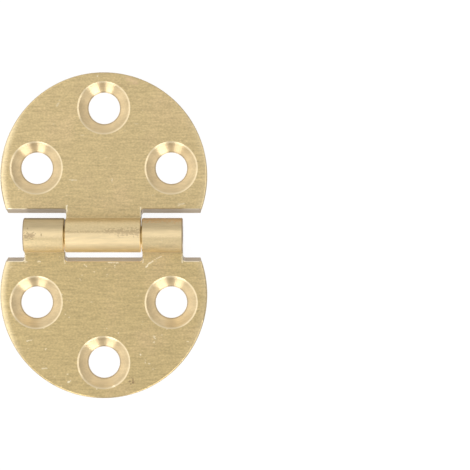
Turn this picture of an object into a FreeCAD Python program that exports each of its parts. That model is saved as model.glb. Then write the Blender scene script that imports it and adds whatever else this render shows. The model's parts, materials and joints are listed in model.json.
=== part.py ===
import FreeCAD, Part
import math
import os

# Round-leaf brass hinge for a drop leaf table, lying open on the backs of its leaves, in millimetres.
# The pin runs along X, the leaves lie in the XY plane with their countersunk faces up, and the origin
# is on the back plane under the middle of the pin.

# Leaves: a disc cut off along the pin
LEAF_RADIUS = 16.0
LEAF_THICKNESS = 1.8
LEAF_CENTRE_OFFSET = 9.2  # pin axis to the centre of a leaf's round outline

# Knuckles: drawn in one piece with the leaves, their undersides level with the backs
BARREL_RADIUS = 2.65
MIDDLE_KNUCKLE_LENGTH = 11.65
KNUCKLE_GAP = 0.16  # side play between neighbouring knuckles
SHOULDER_LEDGE = 2.9  # leaf shoulder that stands past each end of the barrel
SHOULDER_FRONT_GAP = 1.4  # side of the barrel to the front edge of the shoulder hollowed out around it
SHOULDER_BACK_GAP = 0.75  # side of the barrel to the back edge of that shoulder

# Pin: tight in the outer knuckles, free in the middle one
PIN_RADIUS = 1.4
PIN_RUNNING_CLEARANCE = 0.05
PIN_END_RECESS = 0.2
PIN_END_CHAMFER = 0.3

# Screw holes: two beside the barrel and one at the far end of each leaf
SCREW_HOLE_RADIUS = 2.45
SCREW_HOLE_LAND = 0.3  # straight wall left under the countersink
COUNTERSINK_ANGLE = 90.0
HOLE_EDGE_MARGIN = 1.55  # countersink to the round outline
HOLE_SHOULDER_MARGIN = 2.4  # side countersinks to the shoulder

# Rounded and broken edges
OUTLINE_EDGE_RADIUS = 0.25  # front edge of the round outline
SLOT_CORNER_RADIUS = 0.4  # where a neck meets the shoulder
CREASE_RADIUS = 0.3  # where a knuckle rises from the leaf face
EDGE_BREAK = 0.1  # chamfer on shoulders, necks and knuckle ends
COUNTERSINK_RIM_BREAK = 0.15  # chamfer on the mouth of a countersink

# Derived sizes
PIN_HEIGHT = BARREL_RADIUS
SHOULDER_Y = BARREL_RADIUS + SHOULDER_FRONT_GAP
SHOULDER_BACK_Y = BARREL_RADIUS + SHOULDER_BACK_GAP
RELIEF_HEIGHT = (SHOULDER_Y ** 2 - SHOULDER_BACK_Y ** 2 + LEAF_THICKNESS ** 2) / (2 * LEAF_THICKNESS)
RELIEF_RADIUS = math.hypot(SHOULDER_BACK_Y, RELIEF_HEIGHT)  # hollow through both edges of the shoulder
SHOULDER_HALF_WIDTH = math.sqrt(LEAF_RADIUS ** 2 - (LEAF_CENTRE_OFFSET - SHOULDER_Y) ** 2)
BARREL_END = SHOULDER_HALF_WIDTH - SHOULDER_LEDGE
MIDDLE_END = MIDDLE_KNUCKLE_LENGTH / 2
OUTER_START = MIDDLE_END + KNUCKLE_GAP
COUNTERSINK_SLOPE = math.tan(math.radians(COUNTERSINK_ANGLE / 2))
COUNTERSINK_RADIUS = SCREW_HOLE_RADIUS + (LEAF_THICKNESS - SCREW_HOLE_LAND) * COUNTERSINK_SLOPE
HOLE_PITCH_RADIUS = LEAF_RADIUS - HOLE_EDGE_MARGIN - COUNTERSINK_RADIUS
SIDE_HOLE_Y = SHOULDER_Y + HOLE_SHOULDER_MARGIN + COUNTERSINK_RADIUS
SIDE_HOLE_X = math.sqrt(HOLE_PITCH_RADIUS ** 2 - (SIDE_HOLE_Y - LEAF_CENTRE_OFFSET) ** 2)
END_HOLE_Y = LEAF_CENTRE_OFFSET + HOLE_PITCH_RADIUS

# Modelling aids
BEYOND = 2 * LEAF_RADIUS  # reaches past every edge of a leaf
TOLERANCE = 1e-4

V = FreeCAD.Vector
X_AXIS = V(1, 0, 0)
Z_AXIS = V(0, 0, 1)


def cylinder_along_pin(radius, start, end, height=PIN_HEIGHT):
    """A cylinder along the pin between two X positions, about the pin axis or a line under it."""
    return Part.makeCylinder(radius, end - start, V(start, 0, height), X_AXIS)


def flat_at(edge, height):
    """Whether an edge lies in the horizontal plane at a height."""
    box = edge.BoundBox
    return abs(box.ZMin - height) < TOLERANCE and abs(box.ZMax - height) < TOLERANCE


def square_to_pin(edge):
    """Whether an edge lies in a plane square to the pin."""
    return edge.BoundBox.XLength < TOLERANCE


def inside_leaf(edge):
    """Whether an edge lies within the leaf's width."""
    return abs(edge.CenterOfMass.x) < LEAF_RADIUS


def rounded(shape, radius, wanted):
    """The shape with the edges that a test picks rounded to a radius."""
    return shape.makeFillet(radius, [edge for edge in shape.Edges if wanted(edge)])


def chamfered(shape, width, wanted):
    """The shape with the edges that a test picks broken by a chamfer."""
    return shape.makeChamfer(width, [edge for edge in shape.Edges if wanted(edge)])


def leaf_disc():
    """The round blank of a leaf, kept on its own side of the pin."""
    disc = Part.makeCylinder(LEAF_RADIUS, LEAF_THICKNESS, V(0, LEAF_CENTRE_OFFSET, 0))
    own_side = Part.makeBox(2 * BEYOND, BEYOND, LEAF_THICKNESS, V(-BEYOND, 0, 0))
    return disc.common(own_side)


def neck(start, end):
    """The strip of leaf that carries a knuckle, between two X positions."""
    return Part.makeBox(end - start, SHOULDER_Y, LEAF_THICKNESS, V(start, 0, 0))


def shoulder_relief(start, end):
    """The round hollow that clears the mating knuckle, its corners rounded where a neck stands."""
    hollow = cylinder_along_pin(RELIEF_RADIUS, start, end, RELIEF_HEIGHT)
    return rounded(hollow, SLOT_CORNER_RADIUS, lambda edge: square_to_pin(edge) and inside_leaf(edge))


def screw_hole(x, y):
    """The tool for one countersunk screw hole, standing on the back plane."""
    bore = Part.makeCylinder(SCREW_HOLE_RADIUS, LEAF_THICKNESS, V(x, y, 0))
    cone = Part.makeCone(
        SCREW_HOLE_RADIUS, COUNTERSINK_RADIUS, LEAF_THICKNESS - SCREW_HOLE_LAND, V(x, y, SCREW_HOLE_LAND)
    )
    return bore.fuse(cone)


def is_crease(edge):
    """Whether an edge is where a knuckle rises from the leaf face."""
    return flat_at(edge, LEAF_THICKNESS) and edge.CenterOfMass.y < BARREL_RADIUS


def is_shoulder_edge(edge):
    """Whether an edge is the front edge of a shoulder, from which its chamfer runs on round the necks."""
    return flat_at(edge, LEAF_THICKNESS) and abs(edge.CenterOfMass.y - SHOULDER_Y) < TOLERANCE


def is_face_arc(edge, radius):
    """Whether an edge is an arc of a radius on the leaf face."""
    curve = edge.Curve
    return (
        flat_at(edge, LEAF_THICKNESS)
        and isinstance(curve, Part.Circle)
        and abs(curve.Radius - radius) < TOLERANCE
    )


def is_outline_edge(edge):
    """Whether an edge is the front edge of the round outline."""
    return is_face_arc(edge, LEAF_RADIUS)


def is_countersink_rim(edge):
    """Whether an edge is the mouth of a countersink."""
    return is_face_arc(edge, COUNTERSINK_RADIUS)


def leaf(knuckles, reliefs, bore_radius):
    """One leaf on the +Y side of the pin.

    knuckles and reliefs are pairs of X positions, for the knuckles that it carries and for the hollows
    in its shoulder between and beside them.
    """
    body = leaf_disc()
    for start, end in knuckles:
        body = body.fuse(neck(start, end))
    for start, end in reliefs:
        body = body.cut(shoulder_relief(start, end))
    for start, end in knuckles:
        body = body.fuse(cylinder_along_pin(BARREL_RADIUS, start, end))
    body = body.removeSplitter()
    body = rounded(body, CREASE_RADIUS, is_crease)
    body = chamfered(body, EDGE_BREAK, is_shoulder_edge)
    body = rounded(body, OUTLINE_EDGE_RADIUS, is_outline_edge)
    for x, y in ((-SIDE_HOLE_X, SIDE_HOLE_Y), (SIDE_HOLE_X, SIDE_HOLE_Y), (0, END_HOLE_Y)):
        body = body.cut(screw_hole(x, y))
    body = chamfered(body, COUNTERSINK_RIM_BREAK, is_countersink_rim)
    return body.cut(cylinder_along_pin(bore_radius, -BEYOND, BEYOND))


def single_knuckle_leaf():
    """The leaf with the middle knuckle, which turns freely on the pin."""
    return leaf(
        knuckles=((-MIDDLE_END, MIDDLE_END),),
        reliefs=((-BEYOND, -MIDDLE_END), (MIDDLE_END, BEYOND)),
        bore_radius=PIN_RADIUS + PIN_RUNNING_CLEARANCE,
    )


def double_knuckle_leaf():
    """The leaf with the two outer knuckles, turned to the -Y side, which grips the pin."""
    shape = leaf(
        knuckles=((-BARREL_END, -OUTER_START), (OUTER_START, BARREL_END)),
        reliefs=((-BEYOND, -BARREL_END), (-OUTER_START, OUTER_START), (BARREL_END, BEYOND)),
        bore_radius=PIN_RADIUS,
    )
    shape.rotate(V(0, 0, 0), Z_AXIS, 180)
    return shape


def hinge_pin():
    """The pin, a little short of the barrel, with chamfered ends."""
    pin_end = BARREL_END - PIN_END_RECESS
    return chamfered(cylinder_along_pin(PIN_RADIUS, -pin_end, pin_end), PIN_END_CHAMFER, square_to_pin)


PIECES = {
    "single_knuckle_leaf": single_knuckle_leaf,
    "double_knuckle_leaf": double_knuckle_leaf,
    "hinge_pin": hinge_pin,
}

os.makedirs("parts", exist_ok=True)
for name, make in PIECES.items():
    piece = make()
    print(name, "valid" if piece.isValid() else "not valid", f"{piece.Volume:.2f} mm3")
    piece.exportStep(os.path.join("parts", name + ".step"))
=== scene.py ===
"""A brass drop leaf table hinge, lying open on a white sheet and seen from straight above."""

import json
import logging
import math
from dataclasses import dataclass
from enum import Enum
from functools import reduce

import bmesh
import bpy
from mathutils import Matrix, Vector


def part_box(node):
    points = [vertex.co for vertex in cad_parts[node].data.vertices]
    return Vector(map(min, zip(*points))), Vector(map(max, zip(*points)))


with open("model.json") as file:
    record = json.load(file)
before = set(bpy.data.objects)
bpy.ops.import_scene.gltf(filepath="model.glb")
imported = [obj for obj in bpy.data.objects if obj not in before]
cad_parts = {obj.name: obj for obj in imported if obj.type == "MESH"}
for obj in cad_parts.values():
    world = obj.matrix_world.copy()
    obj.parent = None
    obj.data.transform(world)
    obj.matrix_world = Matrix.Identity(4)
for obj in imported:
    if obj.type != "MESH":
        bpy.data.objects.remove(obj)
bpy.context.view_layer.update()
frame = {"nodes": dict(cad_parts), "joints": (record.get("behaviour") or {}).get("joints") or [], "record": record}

log = logging.getLogger("table_hinge")

MM = 0.001

Colour = tuple[float, float, float]
Grid = tuple[float, float, float]
Spot = tuple[float, float]
Span = tuple[float, float]
Socket = bpy.types.NodeSocket
Feed = Socket | float | tuple[float, ...]
Feeds = dict[str | int, Feed]


class Side(Enum):
    """The side of the pin on which a leaf lies, as the sign of its Y."""

    UPPER = 1.0
    LOWER = -1.0


class MarkKind(Enum):
    """What a mark does to the brass, as a mark of use or as a highlight or shade painted along an edge."""

    BRIGHT = "bright"
    DARK = "dark"
    WARM = "warm"
    BROWN_SHADE = "brown"


class MixKind(Enum):
    """What a Mix node mixes, with the numbers of its two inputs and of its output."""

    NUMBER = ("FLOAT", 2, 3, 0)
    VECTOR = ("VECTOR", 4, 5, 1)
    COLOUR = ("RGBA", 6, 7, 2)


@dataclass(frozen=True)
class Mark:
    """A scratch, nick, pit or stain on the front, or a highlight or shade painted along an edge, from one spot to
    another, in millimetres.
    """

    kind: MarkKind
    start: Spot
    end: Spot
    width: float
    strength: float

    @classmethod
    def at(cls, kind: MarkKind, spot: Spot, width: float, strength: float) -> "Mark":
        """A mark on one spot."""
        return cls(kind, spot, spot, width, strength)


@dataclass(frozen=True)
class Wear:
    """What use has left on one leaf, how its brass has aged, and the light and shade painted on it.

    Tarnish is painted shade on the drawn skin beside its crest, which also dulls it, and painted light there where
    it is below 0. The steep side shade is painted shade on the skin's steep side. The brushed side light is
    painted light on the brushed half of a knuckle towards its leaf, and the face's light and tone paints each
    face's level of light and shifts its tone.
    """

    marks: tuple[Mark, ...]
    face_light_and_tone: Colour
    tarnish: float
    steep_side_shade: float
    brushed_side_light: float
    flecks: float


class NodeSketch:
    """Lays out one shader tree by plain calls, most of which give their output socket."""

    NUMBER_OPERATIONS: tuple[str, ...] = ("LENGTH", "DISTANCE", "DOT_PRODUCT")

    def __init__(self, tree: bpy.types.NodeTree) -> None:
        """Starts on an emptied tree."""
        self.tree = tree
        tree.nodes.clear()

    def feed(self, socket: Socket, value: Feed) -> None:
        """Links an output into a socket, or sets the socket's own value.

        Args:
            socket: The input to feed.
            value: An output socket, a number, or a vector or colour.
        """
        if isinstance(value, Socket):
            self.tree.links.new(value, socket)
        else:
            socket.default_value = value

    def node(self, kind: str, feeds: Feeds | None = None, **settings: object) -> bpy.types.Node:
        """Adds a node.

        Args:
            kind: The node's type, after "ShaderNode".
            feeds: What goes into its inputs, by name or number.
            settings: The node's own properties.

        Returns:
            The new node.
        """
        made = self.tree.nodes.new("ShaderNode" + kind)
        for name, value in settings.items():
            setattr(made, name, value)
        for key, value in (feeds or {}).items():
            self.feed(made.inputs[key], value)
        return made

    def math(self, operation: str, *terms: Feed) -> Socket:
        """The result of a Math node on numbers."""
        return self.node("Math", dict(enumerate(terms)), operation=operation).outputs[0]

    def vector(self, operation: str, *terms: Feed) -> Socket:
        """The result of a Vector Math node, a number or a vector as the operation gives it."""
        made = self.node("VectorMath", dict(enumerate(terms)), operation=operation)
        return made.outputs["Value" if operation in self.NUMBER_OPERATIONS else "Vector"]

    def scaled(self, vector: Feed, factor: Feed) -> Socket:
        """A vector or colour times a number."""
        return self.node("VectorMath", {0: vector, "Scale": factor}, operation="SCALE").outputs[0]

    def axes(self, vector: Feed) -> tuple[Socket, ...]:
        """The three numbers of a vector."""
        return tuple(self.node("SeparateXYZ", {0: vector}).outputs)

    def joined(self, x: Feed, y: Feed, z: Feed = 0.0) -> Socket:
        """A vector of three numbers."""
        return self.node("CombineXYZ", {0: x, 1: y, 2: z}).outputs[0]

    def millimetres(self) -> Socket:
        """The place on the piece, in millimetres."""
        return self.scaled(self.node("TexCoord").outputs["Object"], 1 / MM)

    def ramp(self, value: Feed, start: float, end: float) -> Socket:
        """An even step from 0 to 1 as a value goes from start to end."""
        return self.node("MapRange", {"Value": value, "From Min": start, "From Max": end}).outputs[0]

    def rise(self, value: Feed, start: float, end: float) -> Socket:
        """A smooth step from 0 to 1 as a value goes from start to end, which may be the lower."""
        feeds = {"Value": value, "From Min": start, "From Max": end}
        return self.node("MapRange", feeds, interpolation_type="SMOOTHSTEP").outputs[0]

    def fade(self, value: Feed, edge: float, span: Span) -> Socket:
        """A smooth step from 0 to 1 over a span of distances from an edge."""
        return self.rise(value, edge + span[0], edge + span[1])

    def spread(self, value: Feed, low: float, high: float) -> Socket:
        """A value from 0 to 1 spread evenly between two numbers."""
        return self.node("MapRange", {"Value": value, "To Min": low, "To Max": high}).outputs[0]

    def about(self, middle: float, reach: float, value: Feed) -> Socket:
        """A value from 0 to 1 spread evenly about a middle."""
        return self.spread(value, middle - reach, middle + reach)

    def both(self, *masks: Feed) -> Socket:
        """The product of masks."""
        return reduce(lambda one, other: self.math("MULTIPLY", one, other), masks)

    def most(self, *masks: Feed) -> Socket:
        """The greatest of masks."""
        return reduce(lambda one, other: self.math("MAXIMUM", one, other), masks)

    def without(self, mask: Feed) -> Socket:
        """What a mask leaves free."""
        return self.math("SUBTRACT", 1.0, mask)

    def dimmed(self, mask: Feed, share: float) -> Socket:
        """A level of 1 that a mask brings down by a share."""
        return self.without(self.math("MULTIPLY", mask, share))

    def laid(self, kind: MixKind, share: Feed, under: Feed, over: Feed) -> Socket:
        """One value laid over another.

        Args:
            kind: What the values are.
            share: How much of the second covers the first.
            under: The first value.
            over: The second value.

        Returns:
            The mixed value.
        """
        data_type, lower, upper, output = kind.value
        made = self.node("Mix", {0: share, lower: under, upper: over}, data_type=data_type)
        return made.outputs[output]

    def mix(self, share: Feed, under: Feed, over: Feed) -> Socket:
        """One number laid over another."""
        return self.laid(MixKind.NUMBER, share, under, over)

    def tint(self, share: Feed, under: Feed, over: Feed) -> Socket:
        """One colour laid over another."""
        return self.laid(MixKind.COLOUR, share, self.opaque(under), self.opaque(over))

    def pattern(self, where: Feed, grid: Grid, detail: float, roughness: float = 0.5) -> Socket:
        """Noise from 0 to 1 with a number of features to a unit along each axis.

        Args:
            where: The coordinates.
            grid: The number of features to a unit along each axis.
            detail: How many finer layers it has.
            roughness: How strong they are.

        Returns:
            The noise.
        """
        place = self.vector("MULTIPLY", where, grid)
        feeds = {"Vector": place, "Scale": 1.0, "Detail": detail, "Roughness": roughness}
        return self.node("TexNoise", feeds).outputs[0]

    @staticmethod
    def opaque(colour: Feed) -> Feed:
        """A colour as a socket takes it, with its alpha."""
        return (*colour, 1.0) if isinstance(colour, tuple) else colour


def new_material(name: str) -> tuple[bpy.types.Material, NodeSketch]:
    """Starts a material.

    Args:
        name: The material's name.

    Returns:
        The material and its empty nodes.
    """
    made = bpy.data.materials.new(name)
    made.use_nodes = True
    return made, NodeSketch(made.node_tree)


@dataclass(frozen=True)
class LeafSizes:
    """Where the features of one leaf lie, in millimetres."""

    side: Side
    outline_radius: float
    outline_centre: float
    side_hole: Spot
    end_hole: Spot
    bore_radius: float
    barrel_radius: float
    face_height: float = 1.8
    countersink_radius: float = 4.1
    shoulder_line: float = 4.05
    crease_line: float = 2.8
    barrel_end: float = 12.25

    @classmethod
    def from_frame(cls, node: str, mount_prefix: str, side: Side) -> "LeafSizes":
        """Reads a leaf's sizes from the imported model.

        Args:
            node: The leaf's node.
            mount_prefix: What its mounts' names start with.
            side: The side of the pin on which it lies.

        Returns:
            The leaf's sizes.
        """
        low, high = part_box(node)
        radius = high.x / MM
        reach = max(-low.y, high.y) / MM
        mounts = {mount["name"]: mount for mount in frame["record"]["mounts"]}
        pair = mounts[mount_prefix + "_side_screws"]
        end = mounts[mount_prefix + "_end_screw"]
        return cls(
            side=side,
            outline_radius=radius,
            outline_centre=reach - radius,
            side_hole=(pair["dims"]["spacing_x_mm"] / 2, abs(pair["pos_m"][1]) / MM),
            end_hole=(0.0, abs(end["pos_m"][1]) / MM),
            bore_radius=pair["dims"]["hole_r_mm"],
            barrel_radius=frame["joints"][0]["pos_m"][2] / MM,
        )


@dataclass(frozen=True)
class MaskSpans:
    """Where the masks of a leaf's parts fade in, in millimetres from the edge that each belongs to."""

    above_back: Span = (0.05, 0.15)
    front: Span = (-0.3, -0.1)
    behind_shoulder: Span = (-0.6, -0.2)
    cone: Span = (0.03, -0.03)
    cone_rim_inside: Span = (-0.20, -0.15)
    cone_rim_outside: Span = (0.05, 0.0)
    bore: Span = (0.25, 0.05)
    knuckle: Span = (0.30, 0.05)
    knuckle_end: Span = (-0.2, -0.1)
    crease_near: Span = (-0.3, -0.05)
    crease_far: Span = (0.25, 0.05)
    hollow_top: Span = (-0.06, -0.12)
    hollow_bottom: Span = (0.01, 0.05)
    hollow_front: Span = (0.05, 0.0)
    hollow_knuckle: Span = (0.3, 0.6)
    outline: Span = (-0.28, -0.12)
    outer_line: Span = (-0.18, -0.06)
    lip_bottom: Span = (-0.13, -0.10)
    lip_top: Span = (-0.01, -0.03)
    lip_holes: Span = (0.05, 0.1)
    lip_outline: Span = (-0.3, -0.4)
    rolled_width: float = 1.1


class LeafMap:
    """Masks that find the parts of a leaf's surface from its Object coordinates."""

    # Where the brushing belt rolls the ends over, in shares of the outline's radius
    RAN_ON: Span = (-0.72, -0.95)
    RAN_OFF: Span = (0.6, 0.95)
    RAN_OFF_SHARE: float = 0.35  # how strong it is at the end that the belt ran off
    # Where a mark fades in, in shares of its width
    MARK_EDGE: Span = (0.6, 0.1)
    ACROSS_BRUSHING: tuple[float, float, float] = (0.0, 1.0, 0.0)

    def __init__(self, sketch: NodeSketch, sizes: LeafSizes) -> None:
        """Works out what the masks measure.

        Args:
            sketch: The material's nodes.
            sizes: Where the leaf's features lie.
        """
        self.sketch, self.sizes, self.spans = sketch, sizes, MaskSpans()
        self.point = sketch.millimetres()
        self.x, self.y, self.z = sketch.axes(self.point)
        self.across = sketch.math("ABSOLUTE", self.x)
        self.along = sketch.math("MULTIPLY", self.y, sizes.side.value)

        flat = sketch.joined(self.across, self.along)
        self.from_side_hole = sketch.vector("SUBTRACT", flat, (*sizes.side_hole, 0.0))
        self.from_end_hole = sketch.vector("SUBTRACT", flat, (*sizes.end_hole, 0.0))
        to_side_hole = sketch.vector("LENGTH", self.from_side_hole)
        to_end_hole = sketch.vector("LENGTH", self.from_end_hole)
        self.near_side_hole = sketch.math("LESS_THAN", to_side_hole, to_end_hole)
        self.to_hole = sketch.math("MINIMUM", to_side_hole, to_end_hole)
        self.to_outline = sketch.vector("DISTANCE", flat, (0.0, sizes.outline_centre, 0.0))
        above_pin = sketch.math("SUBTRACT", self.z, sizes.barrel_radius)
        self.to_pin = sketch.vector("LENGTH", sketch.joined(self.y, above_pin))

    def front(self) -> Socket:
        """What is level with the leaf's face or above it."""
        return self.sketch.fade(self.z, self.sizes.face_height, self.spans.front)

    def behind_shoulder(self) -> Socket:
        """What lies behind the shoulder, clear of the knuckles."""
        return self.sketch.fade(self.along, self.sizes.shoulder_line, self.spans.behind_shoulder)

    def countersink(self) -> Socket:
        """The turned cones of the screw holes."""
        inside = self.sketch.fade(self.to_hole, self.sizes.countersink_radius, self.spans.cone)
        return self.sketch.both(inside, self.sketch.rise(self.z, *self.spans.above_back))

    def countersink_rim(self) -> Socket:
        """The broken edges at the mouths of the countersinks.

        Returns:
            The mask.
        """
        sketch, edge = self.sketch, self.sizes.countersink_radius
        inside = sketch.fade(self.to_hole, edge, self.spans.cone_rim_inside)
        outside = sketch.fade(self.to_hole, edge, self.spans.cone_rim_outside)
        return sketch.both(inside, outside, self.front())

    def bore_edge(self) -> Socket:
        """The inner edges of the countersinks, round the bores."""
        return self.sketch.fade(self.to_hole, self.sizes.bore_radius, self.spans.bore)

    def barrel(self) -> Socket:
        """The knuckles."""
        return self.sketch.fade(self.to_pin, self.sizes.barrel_radius, self.spans.knuckle)

    def barrel_ends(self) -> Socket:
        """The outer edges of the outer knuckles."""
        end = self.sketch.fade(self.across, self.sizes.barrel_end, self.spans.knuckle_end)
        return self.sketch.both(self.barrel(), end)

    def crease(self) -> Socket:
        """The line where a knuckle rises from its neck.

        Returns:
            The mask.
        """
        sketch, line = self.sketch, self.sizes.crease_line
        near = sketch.fade(self.along, line, self.spans.crease_near)
        far = sketch.fade(self.along, line, self.spans.crease_far)
        return sketch.both(near, far, self.front())

    def shoulder_hollow(self) -> Socket:
        """The sawn hollow of the shoulder around the mating knuckle.

        Returns:
            The mask.
        """
        sketch, sizes, spans = self.sketch, self.sizes, self.spans
        below_face = sketch.fade(self.z, sizes.face_height, spans.hollow_top)
        above_back = sketch.rise(self.z, *spans.hollow_bottom)
        near_shoulder = sketch.fade(self.along, sizes.shoulder_line, spans.hollow_front)
        off_knuckle = sketch.fade(self.to_pin, sizes.barrel_radius, spans.hollow_knuckle)
        return sketch.both(below_face, above_back, near_shoulder, off_knuckle)

    def outline_rim(self) -> Socket:
        """The rounded edge of the outline."""
        edge = self.sketch.fade(self.to_outline, self.sizes.outline_radius, self.spans.outline)
        return self.sketch.both(edge, self.behind_shoulder())

    def outer_line(self) -> Socket:
        """The outermost line of the outline's front edge."""
        edge = self.sketch.fade(self.to_outline, self.sizes.outline_radius, self.spans.outer_line)
        return self.sketch.both(edge, self.behind_shoulder(), self.front())

    def belt_ends(self) -> Socket:
        """How far the brushing belt has rolled over the end that it ran onto, and less the other.

        Returns:
            The mask, which rises evenly to the outline.
        """
        sketch, radius = self.sketch, self.sizes.outline_radius
        ran_on = sketch.rise(self.x, *(share * radius for share in self.RAN_ON))
        ran_off = sketch.rise(self.x, *(share * radius for share in self.RAN_OFF))
        ends = sketch.math("ADD", ran_on, sketch.math("MULTIPLY", ran_off, self.RAN_OFF_SHARE))
        near_edge = sketch.ramp(self.to_outline, radius - self.spans.rolled_width, radius)
        return sketch.both(near_edge, ends, self.behind_shoulder(), self.front())

    def lip(self) -> Socket:
        """The broken front edges of the shoulders and necks, just under the face.

        Returns:
            The mask.
        """
        sketch, sizes, spans = self.sketch, self.sizes, self.spans
        bottom = sketch.fade(self.z, sizes.face_height, spans.lip_bottom)
        top = sketch.fade(self.z, sizes.face_height, spans.lip_top)
        off_holes = sketch.fade(self.to_hole, sizes.countersink_radius, spans.lip_holes)
        off_outline = sketch.fade(self.to_outline, sizes.outline_radius, spans.lip_outline)
        off_knuckles = sketch.without(self.barrel())
        return sketch.both(bottom, top, off_holes, off_outline, off_knuckles)

    def brushing_axis(self) -> Socket:
        """The direction along which highlights draw out: across the brushing, and down the cones.

        Returns:
            The direction in the world.
        """
        sketch = self.sketch
        to_side_x, to_side_along, _ = sketch.axes(self.from_side_hole)
        _, to_end_along, _ = sketch.axes(self.from_end_hole)
        mirrored = sketch.both(to_side_x, sketch.math("SIGN", self.x))
        radial_x = sketch.mix(self.near_side_hole, self.x, mirrored)
        radial_along = sketch.mix(self.near_side_hole, to_end_along, to_side_along)
        radial = sketch.joined(radial_x, sketch.math("MULTIPLY", radial_along, self.sizes.side.value))
        picked = sketch.laid(MixKind.VECTOR, self.countersink(), self.ACROSS_BRUSHING, radial)
        turned = sketch.node("VectorTransform", {0: picked}, convert_from="OBJECT", convert_to="WORLD")
        return sketch.vector("NORMALIZE", turned.outputs[0])

    def mark(self, mark: Mark, wobble: Feed) -> Socket:
        """The mask of one mark of use, with a ragged edge.

        Args:
            mark: The mark.
            wobble: A noise from 0 to 1 that frays its edge.

        Returns:
            The mask.
        """
        sketch = self.sketch
        start, end = Vector((*mark.start, 0.0)), Vector((*mark.end, 0.0))
        run = end - start
        offset = sketch.vector("SUBTRACT", sketch.joined(self.x, self.y), tuple(start))
        share = 0.0
        if run.length > 0:
            reached = sketch.vector("DOT_PRODUCT", offset, tuple(run / run.length_squared))
            share = sketch.node("Clamp", {0: reached}).outputs[0]
        distance = sketch.vector("DISTANCE", offset, sketch.scaled(tuple(run), share))
        frayed = sketch.math("ADD", distance, sketch.about(0.0, mark.width, wobble))
        shape = sketch.rise(frayed, *(part * mark.width for part in self.MARK_EDGE))
        return sketch.math("MULTIPLY", shape, mark.strength)


@dataclass(frozen=True)
class SatinBrass:
    """Brass brushed along the pin, with turned countersinks and a drawn skin on half of each knuckle."""

    face_colour: Colour = (0.572, 0.449, 0.233)
    # A lighter copy of the brushed face's brass for the knuckles: painted light on their brushed halves
    barrel_lit_colour: Colour = (0.665, 0.527, 0.298)
    warm_colour: Colour = (0.72, 0.52, 0.31)
    skin_colour: Colour = (0.845, 0.672, 0.395)
    turned_colour: Colour = (0.70, 0.56, 0.34)
    # Darker, greyer brass in the sawn shoulder hollows: painted shade in the recess
    hollow_shade_colour: Colour = (0.465, 0.38, 0.28)
    # Pale brass for scratches and flecks, and for painted highlights on broken, rolled and neck edges
    worn_and_highlight_colour: Colour = (0.95, 0.84, 0.60)
    # Dark brown for stains, and for painted shade at the bores' edges, the knuckle ends and the outline's outer
    # line
    stain_and_shade_colour: Colour = (0.26, 0.17, 0.10)
    # Brown for painted shade along the top edge of a knuckle
    brown_shade_colour: Colour = (0.56, 0.365, 0.185)

    face_roughness: float = 0.33
    skin_roughness: float = 0.30
    turned_roughness: float = 0.33
    worn_roughness: float = 0.33
    streak_roughness: float = 0.1
    tarnish_roughness: float = 0.4
    stain_roughness: float = 0.2
    anisotropy: float = 0.9

    # Patterns, in features to a millimetre
    streak_grid: Grid = (0.42, 3.2, 3.2)
    band_grid: Grid = (0.05, 0.7, 0.7)
    cloud_grid: Grid = (0.16, 0.16, 0.16)
    grain_grid: Grid = (3.0, 4.0, 4.0)
    fleck_grid: Grid = (1.2, 1.9, 1.9)
    ring_grid: float = 7.0

    # How strongly they show, and the part of them that the knuckles and the drawn skin keep
    streak_contrast: float = 0.29
    grain_contrast: float = 0.28
    band_contrast: float = 0.02
    cloud_contrast: float = 0.03
    barrel_share: float = 0.5
    drawn_share: float = 0.7
    warm_clouds: Span = (0.5, 0.8)
    fleck_peaks: Span = (0.72, 0.80)

    # Where the finish changes on the knuckles and in the countersinks, in millimetres
    brush_stop: Span = (0.6, 0.05)
    streak_fray: float = 0.3
    grain_fray: float = 0.35
    beside_crest: Span = (0.2, 1.4)
    steep_side: Span = (3.95, 3.55)
    brushed_side: Span = (0.6, 1.8)
    cone_margin: float = 0.3

    # Shares of warmth and of painted shade and highlights, and how light a countersink is painted at its bottom
    # and top
    cloud_warmth: float = 0.25
    crease_shade: float = 0.1
    rim_highlight: float = 0.2
    belt_end_highlight: float = 0.4
    bore_edge_shade: float = 0.55
    knuckle_end_shade: float = 0.7
    outline_shade: float = 0.4
    cone_levels: Span = (1.06, 0.9)

    # Relief
    streak_height: float = 0.0016 * MM
    ring_height: float = 0.0010 * MM
    belt_depth: float = 0.12 * MM

    def material(self, name: str, sizes: LeafSizes, wear: Wear) -> bpy.types.Material:
        """Makes the finish of one leaf.

        Args:
            name: The material's name.
            sizes: Where the leaf's features lie.
            wear: What use has left on the leaf.

        Returns:
            The material.
        """
        made, sketch = new_material(name)
        leaf = LeafMap(sketch, sizes)
        surface = LeafSurface(sketch, leaf, self, wear)
        bump = sketch.node("Bump", {"Strength": 1.0, "Distance": 1.0, "Height": surface.relief()})
        brass = sketch.node("BsdfPrincipled", {
            "Base Color": surface.colour(),
            "Metallic": 1.0,
            "Roughness": surface.roughness(),
            "Anisotropic": self.anisotropy,
            "Tangent": leaf.brushing_axis(),
            "Normal": bump.outputs[0],
        })
        sketch.node("OutputMaterial", {"Surface": brass.outputs[0]})
        return made


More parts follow.
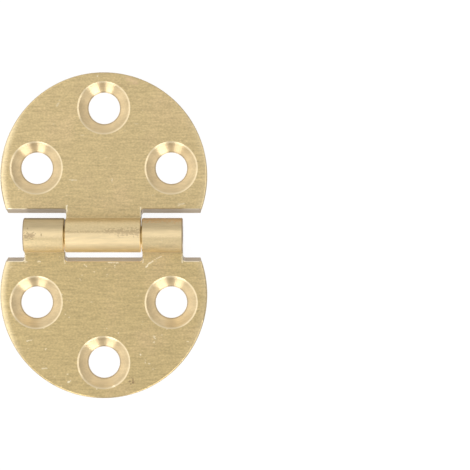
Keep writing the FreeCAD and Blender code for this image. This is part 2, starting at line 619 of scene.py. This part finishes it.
class LeafSurface:
    """Lays a finish over the map of a leaf."""

    def __init__(self, sketch: NodeSketch, leaf: LeafMap, finish: SatinBrass, wear: Wear) -> None:
        """Works out where each part of the finish lies.

        Args:
            sketch: The material's nodes.
            leaf: The masks of the leaf's parts.
            finish: The brass's own values.
            wear: What use has left on the leaf.
        """
        self.sketch, self.leaf, self.finish, self.wear = sketch, leaf, finish, wear
        self.streak = sketch.pattern(leaf.point, finish.streak_grid, detail=3.0, roughness=0.6)
        self.band = sketch.pattern(leaf.point, finish.band_grid, detail=2.0)
        self.cloud = sketch.pattern(leaf.point, finish.cloud_grid, detail=3.0)
        self.grain = sketch.pattern(leaf.point, finish.grain_grid, detail=1.0)
        self.fleck = sketch.pattern(leaf.point, finish.fleck_grid, detail=1.0)

        self.cone = leaf.countersink()
        self.lip = leaf.lip()
        self.sawn = leaf.shoulder_hollow()
        self.belt_ends = leaf.belt_ends()
        fray = sketch.math(
            "ADD",
            sketch.about(0.0, finish.streak_fray, self.streak),
            sketch.about(0.0, finish.grain_fray, self.grain),
        )
        unbrushed = sketch.rise(sketch.math("ADD", leaf.along, fray), *finish.brush_stop)
        self.skin = sketch.both(leaf.barrel(), unbrushed)
        self.beside_crest = sketch.rise(sketch.math("ABSOLUTE", leaf.along), *finish.beside_crest)
        self.brushed = sketch.both(sketch.without(self.cone), sketch.without(self.skin))
        self.depth = sketch.spread(leaf.barrel(), 1.0, finish.barrel_share)
        self.dark = self.marked(MarkKind.DARK)

    def marked(self, kind: MarkKind) -> Socket:
        """The mask of all marks of one kind on the front of the leaf."""
        masks = [self.leaf.mark(mark, self.grain) for mark in self.wear.marks if mark.kind is kind]
        return self.sketch.both(self.sketch.most(0.0, *masks), self.leaf.front())

    def skin_colour(self) -> Socket:
        """The colour of the drawn skin along its crest, with painted shade beside it, which is painted light where
        the tarnish is below 0, and painted shade on its steep side.

        Returns:
            The colour.
        """
        sketch = self.sketch
        steep = sketch.rise(self.leaf.z, *self.finish.steep_side)
        # Beside the crest the tarnish paints shade, and paints light where it is below 0; the steep side shade
        # paints shade
        beside = sketch.dimmed(self.beside_crest, self.wear.tarnish)
        level = sketch.both(beside, sketch.dimmed(steep, self.wear.steep_side_shade))
        return sketch.scaled(self.finish.skin_colour, level)

    def turned_colour(self) -> Socket:
        """The colour of the countersinks, painted lighter down towards their bores and darker at their mouths,
        with painted shade at the bores' edges.

        Returns:
            The colour.
        """
        sketch, sizes, finish = self.sketch, self.leaf.sizes, self.finish
        lowest = sizes.bore_radius + finish.cone_margin
        highest = sizes.countersink_radius - finish.cone_margin
        # Painted light down towards the bore and painted shade towards the mouth
        level = sketch.spread(sketch.rise(self.leaf.to_hole, lowest, highest), *finish.cone_levels)
        # Painted shade at the bore's edge
        bore_shade = sketch.both(self.leaf.bore_edge(), finish.bore_edge_shade)
        return sketch.tint(bore_shade, sketch.scaled(finish.turned_colour, level), finish.stain_and_shade_colour)

    def plain_colour(self) -> Socket:
        """The colour of the faces, knuckles and countersinks without the lines of the tools, with the light and
        shade that are painted into them.

        Returns:
            The colour.
        """
        sketch, finish, wear = self.sketch, self.finish, self.wear
        # Painted light and shade: each leaf's face is scaled to its own level of light, with a shift of its tone
        face = sketch.vector("MULTIPLY", finish.face_colour, wear.face_light_and_tone)
        clouds = sketch.both(sketch.rise(self.cloud, *finish.warm_clouds), finish.cloud_warmth)
        colour = sketch.tint(sketch.most(self.marked(MarkKind.WARM), clouds), face, finish.warm_colour)
        # Painted light on the brushed half of each knuckle towards its leaf, over a lighter, lit copy of the
        # face's brass
        brushed_side = sketch.rise(self.leaf.along, *finish.brushed_side)
        lift = sketch.math("MULTIPLY_ADD", brushed_side, wear.brushed_side_light, 1.0)
        colour = sketch.tint(self.leaf.barrel(), colour, sketch.scaled(finish.barrel_lit_colour, lift))
        colour = sketch.tint(self.skin, colour, self.skin_colour())
        # Painted shade along the top edge of a knuckle, in brown
        colour = sketch.tint(self.marked(MarkKind.BROWN_SHADE), colour, finish.brown_shade_colour)
        return sketch.tint(self.cone, colour, self.turned_colour())

    def tool_lines(self) -> Socket:
        """How the lines of brushing, drawing and turning lighten and darken the brass.

        Returns:
            A level about 1.
        """
        sketch, finish = self.sketch, self.finish
        lines = sketch.about(0.0, finish.streak_contrast, self.streak)
        grains = sketch.about(0.0, finish.grain_contrast, self.grain)
        texture = sketch.both(sketch.math("ADD", lines, grains), self.depth)
        brushing = sketch.math("ADD", texture, sketch.about(1.0, finish.band_contrast, self.band))
        clouds = sketch.about(1.0, finish.cloud_contrast, self.cloud)
        drawing = sketch.math("ADD", clouds, sketch.math("MULTIPLY", lines, finish.drawn_share))
        return sketch.mix(self.brushed, drawing, brushing)

    def colour(self) -> Socket:
        """The colour, with the lines of the tools, painted shade in the crease, the sawn shoulder hollows, the
        knuckle ends and along the outline's outer line, painted highlights on broken and rolled edges and along
        the necks, and flecks, scratches and stains.

        Returns:
            The colour.
        """
        sketch, leaf, finish = self.sketch, self.leaf, self.finish
        colour = sketch.scaled(self.plain_colour(), self.tool_lines())
        colour = sketch.scaled(colour, sketch.dimmed(leaf.crease(), finish.crease_shade))
        # Painted shade in the sawn shoulder hollows
        colour = sketch.tint(self.sawn, colour, finish.hollow_shade_colour)
        # Painted highlights on the broken front edges, the countersinks' mouths and the rolled ends of the
        # outline, stronger on the left end
        rim_highlights = sketch.both(leaf.countersink_rim(), finish.rim_highlight)
        rolled = sketch.both(self.belt_ends, finish.belt_end_highlight)
        colour = sketch.tint(sketch.most(self.lip, rim_highlights, rolled), colour, finish.worn_and_highlight_colour)
        peaks = sketch.rise(self.fleck, *finish.fleck_peaks)
        flecks = sketch.both(peaks, self.brushed, leaf.front(), self.wear.flecks)
        # Bright scratches and flecks, and painted highlights from the bright marks along the neck edges
        bright = sketch.most(self.marked(MarkKind.BRIGHT), flecks)
        colour = sketch.tint(bright, colour, finish.worn_and_highlight_colour)
        # Painted shade at the knuckle ends and along the outline's outer line, with the dark stains
        knuckle_ends = sketch.both(leaf.barrel_ends(), finish.knuckle_end_shade)
        outer_line = sketch.both(leaf.outer_line(), finish.outline_shade)
        return sketch.tint(sketch.most(self.dark, knuckle_ends, outer_line), colour, finish.stain_and_shade_colour)

    def roughness(self) -> Socket:
        """The roughness, which differs little but for tarnish and stains.

        Returns:
            The roughness.
        """
        sketch, leaf, finish = self.sketch, self.leaf, self.finish
        lines = sketch.about(0.0, finish.streak_roughness, self.streak)
        roughness = sketch.math("ADD", lines, finish.face_roughness)
        dulling = finish.tarnish_roughness * max(self.wear.tarnish, 0.0)
        skin = sketch.math("MULTIPLY_ADD", self.beside_crest, dulling, finish.skin_roughness)
        roughness = sketch.mix(self.skin, roughness, skin)
        roughness = sketch.mix(self.cone, roughness, finish.turned_roughness)
        edges = sketch.most(self.lip, leaf.countersink_rim(), leaf.outline_rim())
        roughness = sketch.mix(edges, roughness, finish.worn_roughness)
        return sketch.math("ADD", roughness, sketch.math("MULTIPLY", self.dark, finish.stain_roughness))

    def relief(self) -> Socket:
        """The height of the brushing lines, of the rolled ends and of the rings in the countersinks.

        Returns:
            The height in metres.
        """
        sketch, finish = self.sketch, self.finish
        from_axis = sketch.math("MULTIPLY", self.leaf.to_hole, finish.ring_grid)
        feeds = {"W": from_axis, "Scale": 1.0, "Detail": 2.0}
        ring = sketch.node("TexNoise", feeds, noise_dimensions="1D").outputs[0]
        lines = sketch.both(self.streak, self.brushed, self.depth, finish.streak_height)
        cut = sketch.math("ADD", lines, sketch.both(ring, self.cone, finish.ring_height))
        rolled = sketch.both(self.belt_ends, self.belt_ends, finish.belt_depth)
        return sketch.math("SUBTRACT", cut, rolled)


@dataclass(frozen=True)
class DrawnBrass:
    """Plain drawn brass wire, with faint lines along it."""

    colour: Colour = (0.58, 0.44, 0.20)
    roughness: float = 0.30
    anisotropy: float = 0.5
    line_grid: Grid = (0.2, 6.0, 6.0)
    tarnish_grid: Grid = (0.5, 0.5, 0.5)
    line_contrast: float = 0.1
    tarnish_contrast: float = 0.1
    line_roughness: float = 0.08

    def material(self, name: str) -> bpy.types.Material:
        """Makes the finish.

        Args:
            name: The material's name.

        Returns:
            The material.
        """
        made, sketch = new_material(name)
        point = sketch.millimetres()
        line = sketch.pattern(point, self.line_grid, detail=3.0)
        tarnish = sketch.pattern(point, self.tarnish_grid, detail=3.0)
        lines = sketch.about(0.0, self.line_contrast, line)
        tone = sketch.math("ADD", lines, sketch.about(1.0, self.tarnish_contrast, tarnish))
        brass = sketch.node("BsdfPrincipled", {
            "Base Color": sketch.scaled(self.colour, tone),
            "Metallic": 1.0,
            "Roughness": sketch.math("ADD", sketch.about(0.0, self.line_roughness, line), self.roughness),
            "Anisotropic": self.anisotropy,
        })
        sketch.node("OutputMaterial", {"Surface": brass.outputs[0]})
        return made


def dress(node: str, finish: bpy.types.Material) -> None:
    """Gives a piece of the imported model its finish.

    Args:
        node: The piece's node.
        finish: Its material.
    """
    piece = frame["nodes"][node]
    piece.data.materials.clear()
    piece.data.materials.append(finish)
    log.info("%s dressed in %s", node, finish.name)


@dataclass(frozen=True)
class Leaf:
    """One leaf of the hinge with the knuckles that are drawn in one piece with it."""

    node: str
    mount_prefix: str
    side: Side
    wear: Wear

    def dress(self, brass: SatinBrass) -> None:
        """Finishes the leaf in brushed brass."""
        sizes = LeafSizes.from_frame(self.node, self.mount_prefix, self.side)
        dress(self.node, brass.material(f"{self.node}_brass", sizes, self.wear))


@dataclass(frozen=True)
class HingePin:
    """The pin inside the knuckles, of which only the ends show."""

    node: str = "hinge_pin"

    def dress(self, brass: DrawnBrass) -> None:
        """Finishes the pin in drawn brass."""
        dress(self.node, brass.material("drawn_brass"))


@dataclass(frozen=True)
class SoftCard:
    """A rectangular soft light that faces the hinge, placed and sized by angles in degrees."""

    name: str
    azimuth: float
    elevation: float
    width: float
    height: float
    radiance: float
    distance: float = 0.8

    def build(self) -> None:
        """Hangs the light."""
        lamp = bpy.data.lights.new(self.name, "AREA")
        lamp.shape = "RECTANGLE"
        lamp.size = 2 * self.distance * math.tan(math.radians(self.width) / 2)
        lamp.size_y = 2 * self.distance * math.tan(math.radians(self.height) / 2)
        lamp.energy = self.radiance * math.pi * lamp.size * lamp.size_y
        card = bpy.data.objects.new(self.name, lamp)
        azimuth, elevation = math.radians(self.azimuth), math.radians(self.elevation)
        towards = Vector((
            math.cos(elevation) * math.cos(azimuth),
            math.cos(elevation) * math.sin(azimuth),
            math.sin(elevation),
        ))
        card.location = towards * self.distance
        card.rotation_euler = towards.to_track_quat("Z", "Y").to_euler()
        bpy.context.scene.collection.objects.link(card)
        log.info("%s hung", self.name)


@dataclass(frozen=True)
class Room:
    """The pale surroundings that the brass mirrors.

    Its levels of light change over spans of a direction's X, to the right, its Y, to the back, and its Z.
    """

    front_sky: float = 1.02
    back_sky: float = 0.93
    left_window: float = 0.6
    front_horizon: float = 0.22
    back_horizon: float = 1.3
    left_horizon: float = 1.15
    corner_horizon: float = 0.85
    right_shade: float = 0.8
    least_horizon: float = 0.08
    floor: float = 1.03
    sky_y: Span = (0.15, 0.95)
    window_x: Span = (-0.08, -0.5)
    horizon_y: Span = (-0.3, 0.6)
    left_x: Span = (-0.5, -0.9)
    left_y: Span = (0.6, 0.15)
    corner_x: Span = (0.35, 0.75)
    corner_y: Span = (-0.15, -0.5)
    shade_x: Span = (0.5, 0.9)
    shade_y: Span = (-0.25, 0.05)
    walls_z: Span = (0.60, 0.15)
    floor_z: Span = (-0.02, 0.02)

    def build(self) -> None:
        """Makes the world."""
        world = bpy.data.worlds.new("studio")
        world.use_nodes = True
        sketch = NodeSketch(world.node_tree)
        x, y, z = sketch.axes(sketch.node("TexCoord").outputs["Generated"])
        sky = sketch.mix(sketch.rise(y, *self.sky_y), self.front_sky, self.back_sky)
        window = sketch.math("MULTIPLY_ADD", sketch.rise(x, *self.window_x), self.left_window, sky)
        walls = sketch.mix(sketch.rise(z, *self.walls_z), window, self.horizon(sketch, x, y))
        level = sketch.mix(sketch.rise(z, *self.floor_z), self.floor, walls)
        background = sketch.node("Background", {"Color": (1.0, 1.0, 1.0, 1.0), "Strength": level})
        sketch.node("OutputWorld", {"Surface": background.outputs[0]})
        bpy.context.scene.world = world
        log.info("room lit")

    def horizon(self, sketch: NodeSketch, x: Socket, y: Socket) -> Socket:
        """How light the walls are near the floor, all round.

        Args:
            sketch: The world's nodes.
            x: How far a direction points to the right.
            y: How far it points to the back.

        Returns:
            The level of light.
        """
        left = sketch.both(sketch.rise(x, *self.left_x), sketch.rise(y, *self.left_y))
        across = sketch.math("ABSOLUTE", x)
        corners = sketch.both(sketch.rise(across, *self.corner_x), sketch.rise(y, *self.corner_y))
        shaded = sketch.both(sketch.rise(x, *self.shade_x), sketch.rise(y, *self.shade_y))
        level = sketch.mix(sketch.rise(y, *self.horizon_y), self.front_horizon, self.back_horizon)
        level = sketch.math("MULTIPLY_ADD", left, self.left_horizon, level)
        level = sketch.math("MULTIPLY_ADD", corners, self.corner_horizon, level)
        level = sketch.math("MULTIPLY_ADD", shaded, -self.right_shade, level)
        return sketch.math("MAXIMUM", level, self.least_horizon)


@dataclass(frozen=True)
class WhiteSheet:
    """The sheet on which the hinge lies, white to the eye and to the metal but for a soft shadow."""

    size: float = 2.0
    drop: float = 0.02 * MM
    colour: Colour = (0.92, 0.92, 0.92)
    white_share: float = 0.88

    def build(self) -> None:
        """Lays the sheet."""
        mesh = bpy.data.meshes.new("white_sheet")
        shape = bmesh.new()
        bmesh.ops.create_grid(shape, x_segments=1, y_segments=1, size=self.size / 2)
        bmesh.ops.translate(shape, verts=shape.verts, vec=(0.0, 0.0, -self.drop))
        shape.to_mesh(mesh)
        shape.free()
        mesh.materials.append(self.material())
        sheet = bpy.data.objects.new("white_sheet", mesh)
        bpy.context.scene.collection.objects.link(sheet)
        log.info("white_sheet laid")

    def material(self) -> bpy.types.Material:
        """Makes paper that lets the white of the room through to the eye and to the metal.

        Returns:
            The material.
        """
        made, sketch = new_material("white_sheet")
        path = sketch.node("LightPath").outputs
        seen = sketch.most(path["Is Camera Ray"], path["Is Glossy Ray"], path["Is Transmission Ray"])
        paper = sketch.node("BsdfDiffuse", {"Color": sketch.opaque(self.colour)})
        white = sketch.node("BsdfTransparent")
        share = sketch.math("MULTIPLY", seen, self.white_share)
        shown = sketch.node("MixShader", {0: share, 1: paper.outputs[0], 2: white.outputs[0]})
        sketch.node("OutputMaterial", {"Surface": shown.outputs[0]})
        return made


@dataclass(frozen=True)
class Studio:
    """The room, the white sheet and the soft lights around the hinge."""

    room: Room
    sheet: WhiteSheet
    cards: tuple[SoftCard, ...]

    def build(self) -> None:
        """Builds the room, the sheet and the lights."""
        for item in (self.room, self.sheet, *self.cards):
            item.build()


@dataclass(frozen=True)
class OverheadCamera:
    """The camera that looks straight down, beside the hinge."""

    x: float = 20.3 * MM
    y: float = 0.03 * MM
    subject_height: float = 1.8 * MM
    distance: float = 325.0 * MM
    view_width: float = 72.66 * MM
    sensor: float = 36.0

    def build(self) -> None:
        """Sets up the camera and the picture's colours."""
        lens = bpy.data.cameras.new("overhead")
        lens.sensor_width = self.sensor
        lens.lens = self.sensor * self.distance / self.view_width
        camera = bpy.data.objects.new("overhead", lens)
        camera.location = (self.x, self.y, self.subject_height + self.distance)
        scene = bpy.context.scene
        scene.collection.objects.link(camera)
        scene.camera = camera
        scene.view_settings.view_transform = "Standard"
        log.info("overhead camera set up")


UPPER_MARKS = (
    Mark(MarkKind.BRIGHT, (-7.3, 19.9), (-6.8, 20.8), 0.3, 0.3),
    Mark.at(MarkKind.BRIGHT, (-0.9, 24.6), 0.35, 0.7),
    Mark(MarkKind.BRIGHT, (-5.3, 8.6), (-4.2, 8.5), 0.22, 0.4),
    Mark(MarkKind.BRIGHT, (1.3, 8.8), (1.3, 8.3), 0.2, 0.45),
    Mark(MarkKind.BRIGHT, (11.6, 4.7), (12.3, 4.8), 0.4, 0.4),
    # Painted highlights along the neck edges, not scratches
    Mark(MarkKind.BRIGHT, (5.72, 4.3), (5.72, 2.9), 0.24, 0.7),
    Mark(MarkKind.BRIGHT, (-5.72, 4.5), (-5.72, 3.6), 0.3, 0.8),
    Mark(MarkKind.WARM, (3.7, 24.2), (5.0, 23.6), 0.9, 0.6),
    Mark(MarkKind.DARK, (2.7, 23.2), (3.4, 23.0), 0.8, 0.12),
    Mark(MarkKind.DARK, (0.6, 0.6), (3.0, 0.65), 0.7, 0.36),
    Mark(MarkKind.DARK, (2.6, 0.5), (5.6, 0.45), 1.1, 0.36),
    Mark(MarkKind.DARK, (-5.7, 0.5), (0.3, 0.5), 0.3, 0.28),
)
LOWER_MARKS = (
    Mark(MarkKind.BRIGHT, (6.6, -4.9), (7.0, -4.4), 0.28, 0.8),
    Mark(MarkKind.BRIGHT, (7.2, -4.3), (7.9, -3.75), 0.22, 0.7),
    Mark(MarkKind.BRIGHT, (8.2, -3.6), (8.9, -3.3), 0.18, 0.6),
    Mark(MarkKind.BRIGHT, (0.75, -4.2), (2.2, -4.2), 0.25, 0.7),
    Mark(MarkKind.BRIGHT, (1.7, -4.7), (1.75, -5.0), 0.2, 0.6),
    Mark(MarkKind.BRIGHT, (-10.1, -4.1), (-9.9, -4.1), 0.25, 0.7),
    Mark(MarkKind.BRIGHT, (-3.0, -4.5), (-2.6, -4.9), 0.2, 0.5),
    Mark(MarkKind.BRIGHT, (-11.9, -16.35), (-11.1, -16.25), 0.2, 0.6),
    Mark(MarkKind.BRIGHT, (-9.5, -20.6), (-8.8, -20.6), 0.2, 0.5),
    Mark(MarkKind.BRIGHT, (-5.4, -22.7), (-5.1, -22.6), 0.35, 0.8),
    Mark(MarkKind.BRIGHT, (1.4, -23.4), (1.7, -23.3), 0.35, 0.8),
    Mark.at(MarkKind.BRIGHT, (5.7, -18.5), 0.25, 0.7),
    Mark.at(MarkKind.BRIGHT, (2.3, -15.1), 0.2, 0.6),
    Mark.at(MarkKind.BRIGHT, (9.8, -14.5), 0.2, 0.6),
    # Painted highlights along the neck edges, not scratches
    Mark(MarkKind.BRIGHT, (-12.15, -3.2), (-12.15, -4.2), 0.24, 0.6),
    Mark(MarkKind.BRIGHT, (-6.05, -3.4), (-6.05, -4.3), 0.26, 0.7),
    Mark(MarkKind.BRIGHT, (6.05, -3.6), (6.05, -4.3), 0.26, 0.6),
    Mark(MarkKind.BRIGHT, (12.15, -3.0), (12.15, -4.2), 0.24, 0.6),
    Mark.at(MarkKind.DARK, (4.07, -21.9), 0.36, 0.7),
    Mark.at(MarkKind.DARK, (4.45, -22.3), 0.4, 0.7),
    Mark.at(MarkKind.DARK, (4.0, -22.6), 0.36, 0.7),
    Mark.at(MarkKind.DARK, (4.6, -22.85), 0.4, 0.7),
    Mark.at(MarkKind.DARK, (4.2, -23.05), 0.36, 0.6),
    Mark.at(MarkKind.DARK, (-0.6, -11.4), 0.2, 0.5),
    Mark.at(MarkKind.DARK, (5.1, -7.1), 0.25, 0.4),
    Mark(MarkKind.DARK, (-11.6, -0.1), (-10.8, -0.1), 1.0, 0.55),
    Mark.at(MarkKind.DARK, (-9.36, 0.1), 0.4, 0.8),
    Mark.at(MarkKind.DARK, (-11.4, 1.0), 0.25, 0.6),
    # Painted shade along the top edge of the right outer knuckle
    Mark(MarkKind.BROWN_SHADE, (5.9, 2.45), (12.2, 2.35), 0.9, 0.8),
)
UPPER_WEAR = Wear(
    marks=UPPER_MARKS,
    face_light_and_tone=(1.03, 1.02, 1.02),
    # Below 0: painted light on the skin beside the crest
    tarnish=-0.14,
    steep_side_shade=0.0,
    brushed_side_light=0.0,
    flecks=0.2,
)
LOWER_WEAR = Wear(
    marks=LOWER_MARKS,
    face_light_and_tone=(0.97, 0.955, 0.91),
    # Painted shade on the skin beside the crest, which also dulls it
    tarnish=0.36,
    # Painted shade on the steep side of the knuckles' drawn skin
    steep_side_shade=0.5,
    # Painted light on the brushed half of each knuckle towards its leaf
    brushed_side_light=0.2,
    flecks=0.5,
)

UPPER_LEAF = Leaf("single_knuckle_leaf", "single_leaf", Side.UPPER, UPPER_WEAR)
LOWER_LEAF = Leaf("double_knuckle_leaf", "double_leaf", Side.LOWER, LOWER_WEAR)

CARDS = (
    SoftCard("front_left_card", azimuth=-111, elevation=25, width=19, height=26, radiance=5.3),
    SoftCard("front_right_card", azimuth=-65, elevation=25, width=26, height=26, radiance=5.4),
    SoftCard("right_card", azimuth=0, elevation=48, width=40, height=20, radiance=1.8),
)


def main() -> None:
    """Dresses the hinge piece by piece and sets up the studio."""
    logging.basicConfig(level=logging.INFO, format="%(name)s: %(message)s")
    brass = SatinBrass()
    UPPER_LEAF.dress(brass)
    LOWER_LEAF.dress(brass)
    HingePin().dress(DrawnBrass())
    Studio(Room(), WhiteSheet(), CARDS).build()
    OverheadCamera().build()


if __name__ == "__main__":
    main()
